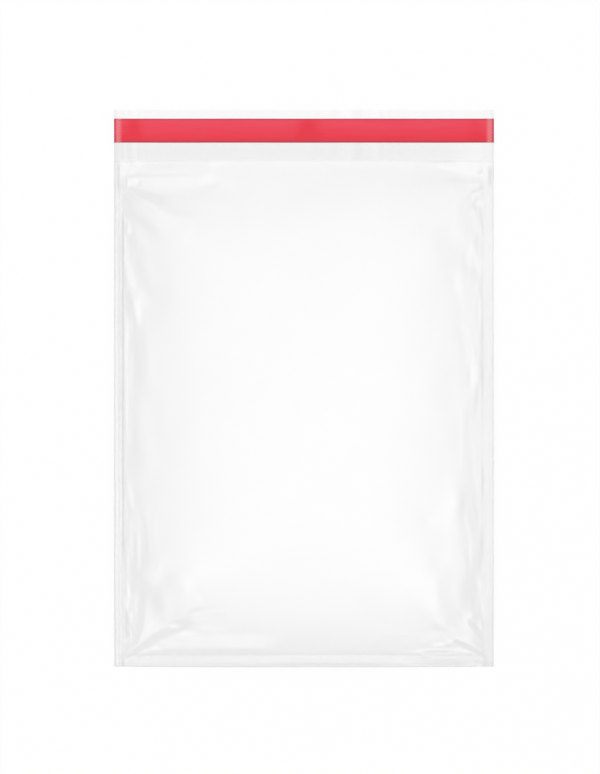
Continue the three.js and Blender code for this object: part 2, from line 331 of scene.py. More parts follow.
# Pleats as the bag has them, in mm on the sheet's plan. Tilt is upwards to the left of the line's run. A
# later pleat is pressed over an earlier one.
PLEATS: tuple[Stroke, ...] = (
    # Foot of the film along the welds
    Stroke(((141, 160), (141, -180)), 2, -0.3, 0.5, 0.6),
    Stroke(((139, 20), (139, -120)), 4.5, -0.16, 0.6, 0.7),
    Stroke(((-138, 100), (-138, -150)), 4.5, 0.18, 0.5, 0.7),
    # Tuck at the mouth's left end: dark slope, pale ridge and the slack below it
    Stroke(((-128, 153), (-104, 151), (-64, 150)), (8, 6), -0.25, 0.65, 0.9),
    Stroke(((-115, 144), (-92, 136)), (8, 6), -0.3, 0.7, 0.8),
    Stroke(((-143, 161), (-131, 154), (-115, 148)), (2, 7), -0.42, 0.95, 0.7),
    Stroke(((-138, 139), (-120, 126)), (9, 8), 0.42, 0.8, 0.9),
    Stroke(((-138, 116), (-128, 108)), 6, 0.36, 0.7, 0.8),
    Stroke(((-141, 154), (-131, 145), (-115, 133), (-97, 123)), (1.8, 3.4), 0, 0.9, 0.7),
    Stroke(((-128, 174), (-96, 175)), 5, -0.22, 0.7, 0.7),
    Stroke(((-133, 168), (-112, 168), (-94, 168)), (3, 2.4), -0.27, 0.7, 0.9),
    Stroke(((-114, 171), (-96, 171)), 1.4, -0.04, 0.7, 0.5),
    Stroke(((-141, 179), (-128, 173)), 4, 0.24, 0.6, 0.7),
    facet(((-132, 178.5), (-127, 178.5)), 3.4, 1, 0.4),
    facet(((-141, 175), (-136, 171.5)), 4, 1, 0.4),
    Stroke(((-142, 167), (-132, 168)), 1.4, -0.32, 0.8, 0.7),
    facet(((-137, 163), (-133, 163)), 3, 1, 0.4),
    Stroke(((-141, 166), (-140, 159)), 1.4, 0.5, 0.9, 0.5),
    # Facets under the mouth's edge
    Stroke(((-96, 174), (-82, 174)), 7, -0.14, 0.7, 0.8),
    Stroke(((-64, 171), (-54, 171)), 8, -0.15, 0.8, 0.7),
    Stroke(((-86, 154), (-62, 154)), 6, -0.2, 0.6, 0.9),
    facet(((-78, 164), (-73, 164)), 5.4, 0.95, 0.65),
    facet(((-73, 181), (-73, 168)), (3, 3.8), 0.85, 0.6),
    facet(((-60, 181), (-60, 176)), 1.8, 0.8, 0.5),
    # Gathers at the mouth's right end
    Stroke(((98, 164), (118, 162)), (12, 11), -0.25, 0.85, 0.9),
    Stroke(((116, 164), (128, 163), (141, 163)), 4, -0.34, 0.75, 0.9),
    facet(((107, 174.5), (116, 174.5), (126, 174)), (3, 7), 0.85, 0.85),
    facet(((124, 174), (148, 174.5)), (7, 7.8), 0.95, 0.6),
    Stroke(((99, 178.5), (117, 179.5)), (2.4, 1.8), -0.28, 0.7, 0.8),
    Stroke(((110, 152), (110, 120)), 10, -0.19, 0.6, 0.9),
    Stroke(((126, 158), (125, 128)), 10, -0.26, 0.5, 0.9),
    facet(((134, 168), (141, 169)), 1.2, 1, 0.5),
    Stroke(((137, 170), (144, 172)), 1.4, 0.5, 1, 0.5, grey=0.04),
    facet(((132, 159), (137, 161), (142, 163)), 1.6, 0.95, 0.6),
    Stroke(((133, 155), (138, 157), (144, 160)), 1.6, 0.44, 0.9, 0.6, grey=0.06),
    facet(((133, 152), (140, 153)), 1.5, 0.85, 0.6),
    Stroke(((135, 149), (143, 150)), 1.3, 0.34, 0.8, 0.6, grey=0.03),
    facet(((137, 144.5), (140, 145), (143, 147)), (2.2, 1.8), 0.95, 0.5),
    Stroke(((139, 141), (140, 130)), 2, -0.4, 0.8, 0.6, grey=0.04),
    Stroke(((128, 136), (129, 122)), 10, -0.34, 0.7, 0.9),
    Stroke(((137, 138), (137, 122)), 3, -0.3, 0.7, 0.7),
    Stroke(((141, 127), (141, 122)), 1.3, -0.6, 0.9, 0.5),
    facet(((140, 119), (143, 121)), 1.3, 1, 0.5),
    Stroke(((124, 110), (137, 121)), 1.6, 0, 0.8, 0.6),
    Stroke(((137, 116), (138, 109)), 5.5, -0.36, 0.7, 0.7),
    Stroke(((114, 110), (113, 88)), 18, -0.24, 0.85, 0.9),
    facet(((132, 102), (143, 97)), 8, 0.95, 0.75),
    facet(((137, 95), (143, 95)), 3, 0.9, 0.6),
    # Folds beside the left weld
    Stroke(((-129, 97), (-123, 79)), 7, 0.38, 0.8, 0.8),
    Stroke(((-138, 73), (-136, 59)), 2.8, 0.5, 0.9, 0.5),
    facet(((-142, 106), (-139, 96), (-136, 86), (-134, 80)), (2, 4), 1, 0.45),
    facet(((-136, 83), (-134, 80)), 3.6, 1, 0.4),
    facet(((-133, 73), (-131, 64), (-130, 56)), (1.6, 3.2), 1, 0.6),
    facet(((-138, 127), (-137, 123)), 1.7, 1, 0.5),
    Stroke(((-141, 120), (-141, 104)), 1, 0, 1, 0.5),
    Stroke(((-130, 42), (-129, 6)), 9, 0.4, 0.8, 0.8),
    Stroke(((-140, 53), (-140, 34), (-140, -34)), (1.9, 1.1), 0, 0.9, 0.5),
    Stroke(((-130, -54), (-132, -66)), (11, 9), 0.38, 0.75, 0.8),
    facet(((-138, -78), (-136, -88)), 3, 0.8, 0.8),
    Stroke(((-138, -92), (-136, -101)), 2.2, 0.42, 0.8, 0.6),
    Stroke(((-128, -100), (-124, -112), (-125, -138)), (3, 5), 0.42, 0.8, 0.7),
    Stroke(((-116, -106), (-115, -124)), 3, 0.06, 0.4, 0.9),
    Stroke(((-130, -118), (-130, -144)), 1.7, 0.1, 0.7, 0.6),
    # Folds beside the right weld
    facet(((121, 86), (122, 79)), 5, 0.7, 0.7),
    Stroke(((122, 72), (129, 62)), 6, -0.08, 0.5, 0.8),
    Stroke(((121, 47), (124, 24), (126, 0)), 5, -0.33, 0.6, 0.8),
    facet(((123, 50), (129, 43), (132, 35), (134, 20)), (1.4, 2), 0.6, 0.7),
    facet(((134, 15), (134, 6)), 4, 1, 0.5),
    Stroke(((141, 20), (141, -2)), 1.8, -0.6, 0.95, 0.5),
    Stroke(((141, 60), (141, 36)), 1.5, -0.5, 0.8, 0.6),
    facet(((139, 63), (139, 59)), 2.2, 0.9, 0.7),
    Stroke(((123, -20), (123, -54)), 2, -0.05, 0.5, 0.8),
    Stroke(((128, -16), (128, -60)), 2.6, -0.36, 0.6, 0.7),
    Stroke(((133, -40), (135, -74)), 2.4, -0.06, 0.5, 0.8),
    Stroke(((133, -78), (131, -94)), 7, -0.34, 0.6, 0.8),
    facet(((97, -104), (108, -96), (117, -90)), (1.6, 6), 0.75, 0.7),
    facet(((97, -104), (110, -94)), (1.4, 2), 0.8, 0.5),
    Stroke(((127, -100), (131, -118), (131, -137)), 2, -0.08, 0.5, 0.7),
    Stroke(((136, -100), (137, -136)), 3, -0.38, 0.6, 0.8),
    Stroke(((141, -66), (141, -80)), 1.6, -0.6, 0.9, 0.5),
    Stroke(((140, -118), (141, -126)), 2.2, -0.55, 0.9, 0.5),
    facet(((112, -134), (120, -137)), 10, 0.6, 0.95),
    # Hips and pleats at the bottom left
    Stroke(((-120, -148), (-113, -178)), 18, 0.36, 0.75, 0.9),
    Stroke(((-102, -158), (-98, -180)), (13, 11), 0.3, 0.75, 0.8),
    Stroke(((-118, -164), (-111, -182)), (12, 10), 0.42, 0.9, 0.9, grey=0.04),
    Stroke(((-127, -164), (-128, -180), (-132, -198)), (7, 3.4), 0.5, 0.95, 0.8, grey=0.02),
    Stroke(((-135, -150), (-134, -190)), (3, 2.6), 0.36, 0.85, 0.7),
    Stroke(((-128, -154), (-121, -154), (-116, -150), (-112, -143)), 1.8, 0.5, 0.9, 0.5),
    facet(((-124, -148), (-118, -146)), 3.2, 0.9, 0.5),
    Stroke(((-110, -149), (-107, -142), (-96, -139)), 2, 0, 0.7, 0.6),
    Stroke(((-128, -197), (-119, -185), (-107, -177)), (2.6, 3), 0.18, 0.7, 0.7),
    facet(((-81, -159), (-81, -167)), 1.3, 0.6, 0.7),
    Stroke(((-78, -158), (-78, -167)), 2.2, 0.3, 0.6, 0.8),
    Stroke(((-64, -181), (-52, -183)), 6, 0.26, 0.5, 0.9),
    Stroke(((-84, -188), (-66, -189)), 7, 0.13, 0.5, 0.95),
    Stroke(((-96, -181), (-72, -181)), 4, 0.2, 0.8, 0.7),
    Stroke(((-92, -170), (-76, -169), (-62, -168)), 4, 0.18, 0.6, 0.9),
    Stroke(((-86, -177), (-75, -175), (-62, -174)), 2.4, 0.04, 0.55, 0.8),
    Stroke(((-94, -150), (-56, -147)), 3, 0.04, 0.5, 0.7),
    # Ear at the bottom left
    Stroke(((-104, -200), (-72, -199), (-33, -199)), 8, 0.15, 0.8, 0.7),
    Stroke(((-139, -212), (-127, -204), (-117, -196), (-106, -190), (-95, -187)), (2.2, 8.6), 0.46, 1, 0.6,
           grey=0.02),
    Stroke(((-130, -209), (-117, -205), (-102, -199)), (1.8, 2.6), 0.12, 0.8, 0.5),
    facet(((-104, -187), (-100, -187)), 2.4, 1, 0.4),
    facet(((-94, -193), (-86, -193)), 3.4, 0.6, 0.8),
    facet(((-100, -195), (-94, -193)), (2.2, 3), 1, 0.5),
    facet(((-119, -206), (-115, -205)), 1.5, 1, 0.5),
    # Crumples beside the left weld's foot
    Stroke(((-137, -174), (-136, -197)), 3.4, 0.38, 0.85, 0.7),
    facet(((-139, -155), (-138, -164)), 1.6, 1, 0.5),
    facet(((-140, -169), (-139, -174)), 1.5, 0.9, 0.6),
    Stroke(((-141, -178), (-139, -194)), 2.4, 0.55, 0.9, 0.5, grey=0.1),
    Stroke(((-140, -188), (-136, -192), (-137, -201)), 1, 0, 1, 0.5),
    facet(((-142, -199), (-140, -199)), 1.6, 1, 0.5),
    # Foot of the front panel along the fold
    Stroke(((-108, -208), (-82, -208), (-33, -208)), 3, 0.46, 0.9, 0.5),
    Stroke(((30, -206), (84, -203)), 6, 0.4, 0.6, 0.7),
    Stroke(((73, -193), (83, -193)), 1.2, 0.12, 0.6, 0.7),
    # Hips and ear at the bottom right
    Stroke(((117, -152), (122, -184)), 15, -0.28, 0.75, 0.9),
    Stroke(((113, -174), (120, -192)), (13, 11), -0.33, 0.9, 0.9, grey=0.03),
    Stroke(((130, -158), (130, -167)), 12, -0.5, 0.9, 0.7, grey=0.02),
    Stroke(((108, -157), (110, -170)), 6, -0.3, 0.8, 0.6),
    facet(((96, -158), (98, -169)), 5.6, 0.85, 0.7),
    Stroke(((131, -185), (137, -192), (142, -199)), (3.6, 3), -0.55, 0.95, 0.6, grey=0.06),
    facet(((127, -180.5), (131, -180)), 2.2, 1, 0.3),
    facet(((142, -164), (142, -176)), 1.8, 0.6, 0.5),
    Stroke(((142, -184), (142, -200)), 1.6, -0.6, 0.9, 0.5, grey=0.06),
    Stroke(((97, -196), (115, -194)), 5, 0.24, 0.85, 0.6),
    Stroke(((120, -205), (131, -208), (143, -214)), 1.5, 0, 1, 0.5),
    Stroke(((119, -199), (128, -203), (135, -207), (145, -214)), (2.6, 2.2), 0.6, 1, 0.5, grey=0.09),
    facet(((115, -199), (117, -198)), 2.6, 0.95, 0.6),
    facet(((104, -202), (109, -201)), 3, 0.85, 0.7),
    Stroke(((94, -210), (111, -209), (127, -210)), 1.6, 0.24, 0.8, 0.6),
    Stroke(((86, -208), (97, -206), (110, -205), (120, -207), (128, -208)), 1.3, 0.06, 0.85, 0.6),
    Stroke(((100, -212.5), (135, -212.5)), 1.2, 0.08, 0.8, 0.6),
    Stroke(((136, -216), (142, -217)), 2.6, 0.3, 0.5, 0.6, grey=0.1),
)


@dataclass(frozen=True)
class Pucker:
    """A pucker beside a weld: its side, distances below the mouth and from the weld, reach and height."""

    side: Side
    below: float
    inset: float
    reach: float
    height: float


@dataclass
class Pocket:
    """Form of the puffed pocket, close to the CAD part's, with a softer foot and a shorter mouth slope."""

    width: float = 300.0
    length: float = 400.0
    flap: float = 40.0
    film: float = 0.08
    weld: float = 8.0
    puff: float = 16.0
    gape: float = 8.5
    edge_share: float = 0.1
    edge_run: float = 28.0
    side_shoulder: float = 140.0
    bottom_shoulder: float = 150.0
    mouth_shoulder: float = 105.0
    power: float = 3.0
    hip_rounding: float = 0.08
    fold_band: float = 9.0
    fold_gape: float = 0.6
    seam_lift: float = 2.5
    fold_lift: float = 3.0
    lift_run: float = 90.0
    lift_reach: float = 30.0
    pucker_width: float = 9.0
    puckers: tuple[Pucker, ...] = (
        Pucker(Side.LEFT, 101, 9, 25, 1.4), Pucker(Side.LEFT, 214, 12, 30, 0.7),
        Pucker(Side.LEFT, 326, 19, 15, 1.2), Pucker(Side.RIGHT, 84, 8, 13, 0.9),
        Pucker(Side.RIGHT, 175, 9, 20, 1.3), Pucker(Side.RIGHT, 276, 22, 24, 1.4))
    gather_run: float = 16.0
    tuck_height: float = 1.6
    tuck_width: float = 8.0
    tuck_start: float = 16.0
    tuck_run: tuple[float, float] = (46.0, 34.0)
    flap_rise: float = 1.2
    lip_droop: float = 0.4
    wave_height: float = 0.4
    waves: float = 3.0
    liner_width: float = 19.0
    liner_setback: float = 7.0
    liner_thickness: float = 0.1
    glue_margin: float = 2.0
    glue_thickness: float = 0.12
    mouth_lip: float = 7.0

    @property
    def weld_x(self) -> float:
        """Inner edge of the right weld."""
        return self.width / 2 - self.weld

    @property
    def top_y(self) -> float:
        """Free edge of the flap."""
        return (self.length + self.flap) / 2

    @property
    def fold_y(self) -> float:
        """Bottom fold."""
        return -self.top_y

    @property
    def mouth_y(self) -> float:
        """Mouth edge of the front panel."""
        return self.fold_y + self.length

    @property
    def liner_top_y(self) -> float:
        """Liner's edge nearer the flap's free edge."""
        return self.top_y - self.liner_setback

    @property
    def liner_low_y(self) -> float:
        """Liner's edge nearer the mouth."""
        return self.liner_top_y - self.liner_width

    def shoulder(self, distance: Array, run: float) -> Array:
        """Film that leaves an edge at a slope and flattens out over a run."""
        return 1 - (1 - np.clip(distance / run, 0, 1)) ** self.power

    def rise(self, distance: Array, run: float) -> Array:
        """A shoulder with a steeper foot."""
        foot = self.edge_share * self.shoulder(distance, self.edge_run)
        return foot + (1 - self.edge_share) * self.shoulder(distance, run)

    def hip(self, first: Array, second: Array) -> Array:
        """The lower of two slopes, with the crease between them rounded off."""
        lower = first + second - np.sqrt((first - second) ** 2 + self.hip_rounding * first * second)
        return lower / (2 - math.sqrt(self.hip_rounding))

    def gathers(self, x: Array, from_weld: Array, from_mouth: Array) -> Array:
        """Height of the puckers beside the welds and of the tucks below the mouth.

        Args:
            x: Places across, in mm.
            from_weld: Distances from the nearer weld.
            from_mouth: Distances below the mouth.

        Returns:
            Heights in mm.
        """
        across, down = self.tuck_run
        square = across ** 2 + down ** 2
        along = np.clip((from_weld * across + (from_mouth - self.tuck_start) * down) / square, 0, 1)
        aside = np.hypot(from_weld - along * across, from_mouth - self.tuck_start - along * down)
        total = self.tuck_height * (1 - along) * bell(aside, 0, self.tuck_width)
        for pucker in self.puckers:
            near = bell(from_mouth, pucker.below, pucker.reach)
            near = near * bell(from_weld, pucker.inset, self.pucker_width)
            total = total + np.where(np.sign(x) == pucker.side.value, pucker.height * near, 0)
        return total

    def gap(self, x: Array, y: Array) -> Array:
        """Clear height of the pocket.

        Args:
            x: Places across, in mm.
            y: Places along, in mm.

        Returns:
            Heights in mm, 0 at the welds and at the fold.
        """
        from_weld = np.maximum(self.weld_x - np.abs(x), 0)
        from_fold = np.maximum(y - self.fold_y - self.film, 0)
        from_mouth = self.mouth_y - y
        side = self.rise(from_weld, self.side_shoulder)
        share = self.fold_gape / self.puff
        band = share * np.clip(from_fold / (self.fold_band - self.film), 0, 1)
        bottom = band + (1 - share) * self.rise(y - self.fold_y - self.fold_band, self.bottom_shoulder)
        past_lip = np.sqrt(np.maximum(from_mouth, 0) ** 2 + self.mouth_lip ** 2) - self.mouth_lip
        crown = self.gape + (self.puff - self.gape) * self.shoulder(past_lip, self.mouth_shoulder)
        loose = self.shoulder(np.minimum(from_weld, from_fold), self.gather_run)
        return crown * self.hip(side, bottom) + self.gathers(x, from_weld, from_mouth) * loose

    def back(self, x: Array, y: Array) -> Array:
        """Height of the back panel and the flap over the table, at the sheet's lower face.

        Args:
            x: Places across, in mm.
            y: Places along, in mm.

        Returns:
            Heights in mm.
        """
        from_weld = np.maximum(self.weld_x - np.abs(x), 0)
        from_fold = y - self.fold_y
        along_weld = smooth(from_fold, 0, self.lift_run) * smooth(self.mouth_y - y, 0, self.lift_run)
        along_fold = smooth(from_weld, 0, self.lift_run)
        lifted = (self.seam_lift * along_weld * (1 - self.shoulder(from_weld, self.lift_reach))
                  + self.fold_lift * along_fold * (1 - self.shoulder(from_fold, self.lift_reach)))
        wave = self.wave_height / 2 * (1 - np.cos(2 * math.pi * self.waves * x / self.width))
        droop = self.lip_droop * np.clip((y - self.liner_top_y) / self.liner_setback, 0, 1)
        curl = self.flap_rise * smooth(y, self.mouth_y, self.liner_low_y) - droop
        return lifted + wave * smooth(y, self.mouth_y - self.lift_run, self.mouth_y) + curl


@dataclass
class Relief:
    """Front panel with its pleats: their slopes are drawn on a raster, and the film is fitted to them.

    The film stays fixed at the welds and the fold and is free at the mouth. Where the slopes can't all be
    met, the film round a pleat gives way, as slack film does.
    """

    pocket: Pocket
    step: float = 0.5
    rounds: int = 14
    push: float = 1.5
    rim: float = 1.5
    corner: float = 0.25
    corner_rounds: int = 2
    last_cell: float = 1.001

    def __post_init__(self) -> None:
        """Lays out the raster with the plain puffed form."""
        bag = self.pocket
        self.xs = np.linspace(-bag.weld_x, bag.weld_x, round(2 * bag.weld_x / self.step) + 1)
        self.ys = np.linspace(bag.fold_y, bag.mouth_y, round(bag.length / self.step) + 1)
        self.x, self.y = np.meshgrid(self.xs, self.ys)
        self.floor = bag.back(self.x, self.y)
        self.plain = self.floor + bag.gap(self.x, self.y)
        self.heights = self.plain.copy()
        self.down, self.across = np.gradient(self.plain, self.step)
        self.wish_x, self.wish_y = np.zeros_like(self.plain), np.zeros_like(self.plain)
        self.grip, self.painted_crease_shade = np.zeros_like(self.plain), np.zeros_like(self.plain)

    def sample(self, raster: Array, x: Array, y: Array) -> Array:
        """Reads a raster at any places, between its points.

        Args:
            raster: Values at the raster's points.
            x: Places across, in mm.
            y: Places along, in mm.

        Returns:
            Values at the places.
        """
        across = np.clip((x - self.xs[0]) / self.step, 0, len(self.xs) - self.last_cell)
        along = np.clip((y - self.ys[0]) / self.step, 0, len(self.ys) - self.last_cell)
        column, row = across.astype(int), along.astype(int)
        share_x, share_y = across - column, along - row
        low = raster[row, column] * (1 - share_x) + raster[row, column + 1] * share_x
        high = raster[row + 1, column] * (1 - share_x) + raster[row + 1, column + 1] * share_x
        return low * (1 - share_y) + high * share_y

    def run_of(self, stroke: Stroke) -> tuple[Array, Array]:
        """Rounds a stroke's line at its corners and sets even points along it.

        Args:
            stroke: Pleat with the line.

        Returns:
            The points, and the share of the line's length at each.
        """
        knots = np.array(stroke.line, float)
        for _ in range(self.corner_rounds if len(knots) > 2 else 0):
            cut = np.empty((2 * len(knots) - 2, 2))
            cut[0::2] = (1 - self.corner) * knots[:-1] + self.corner * knots[1:]
            cut[1::2] = self.corner * knots[:-1] + (1 - self.corner) * knots[1:]
            knots = np.vstack([knots[:1], cut, knots[-1:]])
        legs = np.concatenate([[0], np.cumsum(np.hypot(*np.diff(knots, axis=0).T))])
        shares = np.linspace(0, 1, max(int(legs[-1] / self.step), 3))
        run = np.stack([np.interp(shares * legs[-1], legs, knots[:, k]) for k in (0, 1)], 1)
        return run, shares

    def press(self, stroke: Stroke) -> None:
        """Draws a pleat's slopes on the raster.

        Args:
            stroke: Line, width and tilt of the pleat.
        """
        run, shares = self.run_of(stroke)
        width = np.broadcast_to(stroke.width, 2)
        reach = width.max()
        low, high = run.min(0) - reach, run.max(0) + reach
        rows = np.flatnonzero((self.ys >= low[1]) & (self.ys <= high[1]))
        cols = np.flatnonzero((self.xs >= low[0]) & (self.xs <= high[0]))
        window = np.ix_(rows, cols)
        x, y = self.x[window], self.y[window]
        square = (x[..., None] - run[:, 0]) ** 2 + (y[..., None] - run[:, 1]) ** 2
        nearest = square.argmin(-1)
        way = np.gradient(run, axis=0)
        way = (way / np.linalg.norm(way, axis=1)[:, None])[nearest]
        half = np.interp(shares[nearest], (0, 1), width)
        within = 1 - smooth(np.sqrt(square.min(-1)) / half, 1 - stroke.soft, 1.0)
        mask = stroke.hold * within
        across, down = self.across[window], self.down[window]
        along = np.where(stroke.lie is Lie.FACET, 0.0, across * way[..., 0] + down * way[..., 1])
        wish_x = along * way[..., 0] - stroke.tilt * way[..., 1] - across
        wish_y = along * way[..., 1] + stroke.tilt * way[..., 0] - down
        self.wish_x[window] += mask * (wish_x - self.wish_x[window])
        self.wish_y[window] += mask * (wish_y - self.wish_y[window])
        self.grip[window] = np.maximum(self.grip[window], mask)
        # Painted shade: the film is greyed along the pleat's crease
        self.painted_crease_shade[window] = np.maximum(self.painted_crease_shade[window], stroke.grey * within)

    def fitted(self, slope_x: Array, slope_y: Array) -> Array:
        """Heights whose slopes come nearest to the given ones, by Fourier series.

        Args:
            slope_x: Slopes across the bag.
            slope_y: Slopes along the bag.

        Returns:
            Heights, zero at the welds and the fold.
        """
        def spread(values: Array, at_welds: int, at_mouth: int, at_fold: int) -> Array:
            """Mirrors a raster about its sides.

            Args:
                values: The raster.
                at_welds: Sign of what lies past the right weld.
                at_mouth: Sign of what lies past the mouth.
                at_fold: Sign of what lies past the fold.

            Returns:
                The raster with its mirrored parts.
            """
            wide = np.concatenate([values, at_welds * values[:, -2:0:-1]], 1)
            half = np.concatenate([wide, at_mouth * wide[-2::-1]])
            return np.concatenate([half, at_fold * half[-2:0:-1]])

        rows, columns = slope_x.shape
        spread_x, spread_y = spread(slope_x, 1, 1, -1), spread(slope_y, -1, -1, 1)
        k_x = 2 * math.pi * np.fft.rfftfreq(spread_x.shape[1], self.step)
        k_y = 2 * math.pi * np.fft.fftfreq(spread_x.shape[0], self.step)[:, None]
        square = k_x ** 2 + k_y ** 2
        square[0, 0] = 1.0
        waves = -1j * (k_x * np.fft.rfft2(spread_x) + k_y * np.fft.rfft2(spread_y)) / square
        return np.fft.irfft2(waves, spread_x.shape)[:rows, :columns]

    def settle(self) -> None:
        """Fits the film to the pleats, hardest where they are, and keeps it off the back panel."""
        self.wish_x *= smooth(self.y - self.pocket.fold_y, 0, self.rim)
        self.wish_y *= smooth(self.pocket.weld_x - np.abs(self.x), 0, self.rim)
        push_x, push_y = self.wish_x.copy(), self.wish_y.copy()
        for _ in range(self.rounds):
            lift = self.fitted(push_x, push_y)
            lift[:, 0] = lift[:, -1] = lift[0] = 0
            got_y, got_x = np.gradient(lift, self.step)
            push_x += self.push * self.grip * (self.wish_x - got_x)
            push_y += self.push * self.grip * (self.wish_y - got_y)
        self.heights = np.maximum(self.plain + lift, self.floor)


def sheet_object(name: str, places: Array, thickness: float) -> Object:
    """Makes a thin sheet from a grid primitive.

    Args:
        name: Name of the piece.
        places: Points of the sheet's middle face by row and column, in metres.
        thickness: Thickness in metres.

    Returns:
        The piece at the origin, with a modifier that gives its thickness.
    """
    rows, columns = places.shape[:2]
    bpy.ops.object.select_all(action="DESELECT")
    bpy.ops.mesh.primitive_grid_add(x_subdivisions=columns - 1, y_subdivisions=rows - 1, size=2.0)
    sheet = bpy.context.active_object
    sheet.name = sheet.data.name = name
    sheet.data.vertices.foreach_set("co", places.reshape(-1))
    sheet.data.update()
    bpy.ops.object.shade_smooth()
    solid = sheet.modifiers.new("thickness", "SOLIDIFY")
    solid.thickness = thickness
    solid.offset = 0.0
    return sheet


def give_attribute(piece: Object, name: str, values: Array) -> None:
    """Stores a value for each point of a piece's mesh."""
    layer = piece.data.attributes.new(name, "FLOAT", "POINT")
    layer.data.foreach_set("value", values.reshape(-1).astype(np.float32))


def apply_thickness(piece: Object) -> None:
    """Applies a sheet's thickness to its mesh.

    Args:
        piece: Sheet whose thickness is a modifier.
    """
    bpy.ops.object.select_all(action="DESELECT")
    piece.select_set(True)
    bpy.context.view_layer.objects.active = piece
    bpy.ops.object.modifier_apply(modifier="thickness")
    bpy.ops.object.shade_smooth_by_angle(angle=CREASE_ANGLE)


def crowded(start: float, end: float, *spacings: tuple[float, float]) -> Array:
    """Grid lines that stand close at both ends and wide in the middle.

    Args:
        start: First line.
        end: Last line.
        spacings: Pairs of a distance from the nearer end and the spacing there.

    Returns:
        The lines, with both ends.
    """
    fine = np.linspace(start, end, int(abs(end - start) / FINE_STEP))
    nearest = np.minimum(np.abs(fine - start), np.abs(fine - end))
    spacing = np.interp(nearest, *np.array(spacings).T)
    density = 0.5 * (1 / spacing[1:] + 1 / spacing[:-1])
    count = np.concatenate([[0], np.cumsum(density * np.abs(np.diff(fine)))])
    lines = int(round(count[-1]))
    return np.interp(np.linspace(0, count[-1], lines + 1), count, fine)


@dataclass(frozen=True)
class WeldLine:
    """A greyed line in a weld.

    Inset is its distance from the cut edge. Stretch is where along the bag it starts, is full, begins to
    thin out and ends. The greying of an uneven line wavers.
    """

    inset: float
    width: float
    grey: float
    stretch: tuple[float, float, float, float] = WHOLE_BAG
    uneven: bool = False


@dataclass(frozen=True)
class WeldGrey:
    """Greying of a weld: all over, what its lower part adds, and at its foot and lines, with painted shade
    at its cut edge.
    """

    body: float
    lower: float
    foot: float
    cut: float
    cut_width: float
    lines: tuple[WeldLine, ...]
    lower_run: tuple[float, float] = (110.0, 50.0)
    foot_run: tuple[float, float] = (-176.0, -190.0)
    mouth_end_run: tuple[float, float] = (163.0, 170.0)
    mouth_end_inset: tuple[float, float] = (4.0, 5.5)
    flap_inset: tuple[float, float] = (2.2, 3.2)
    clearing: float = 0.9

    def at(self, bag: Pocket, inset: Array, y: Array, waver: Array) -> Array:
        """Gives the greying at any places. The flap and the mouth's ends are clear but for the cut edge.

        Args:
            bag: Form of the bag.
            inset: Distances from the cut edge, in mm.
            y: Places along, in mm.
            waver: Factors for the uneven lines.

        Returns:
            Values from 0, clear, to 1, fully greyed.
        """
        seam = self.body + self.lower * smooth(y, *self.lower_run)
        seam = seam * smooth(inset, bag.weld + 0.5, bag.weld - 0.5)
        for line in self.lines:
            tone = line.grey * bell(inset, line.inset, line.width) * stretch(y, *line.stretch)
            seam = seam + tone * (waver if line.uneven else 1)
        seam = seam + self.foot * smooth(y, *self.foot_run) * smooth(inset, bag.weld + 2.5, bag.weld - 1)
        at_mouth = smooth(y, *self.mouth_end_run) * smooth(inset, *self.mouth_end_inset)
        on_flap = smooth(y, bag.mouth_y - 1, bag.mouth_y + 2) * smooth(inset, *self.flap_inset)
        seam = seam * (1 - self.clearing * np.maximum(at_mouth, on_flap))
        # Painted shade: the dark rim that the film's cut edge shows
        return seam + self.cut * bell(inset, 0, self.cut_width)


# The lines at the weld's inner edge, inset 7.2 here and 8.3 on the right, are painted shade for the step
# where the film leaves the weld; the other lines are the heat bar's grey.
LEFT_WELD = WeldGrey(body=0.08, lower=0.0, foot=0.01, cut=0.19, cut_width=1.3, lines=(
    WeldLine(7.2, 0.8, 0.09), WeldLine(7.2, 0.8, 0.23, (-142, -122, 128, 142)),
    WeldLine(4.6, 1.2, 0.04, uneven=True), WeldLine(4.6, 1.2, 0.06, (-60, -30, 105, 125), uneven=True),
    WeldLine(3.2, 1.3, 0.14, (152, 162, 174, 182))))
RIGHT_WELD = WeldGrey(body=0.06, lower=0.05, foot=0.04, cut=0.1, cut_width=0.8, lines=(
    WeldLine(8.3, 0.8, 0.02, uneven=True), WeldLine(1.3, 0.5, 0.11),
    WeldLine(3.2, 1.6, 0.2, (157, 163, 171, 177))))


@dataclass(frozen=True)
class Cockle:
    """Slack waviness of the puffed film, and the runs over which it grows from the welds and the ends."""

    waviness: Waviness
    from_weld: tuple[float, float]
    from_end: tuple[float, float]


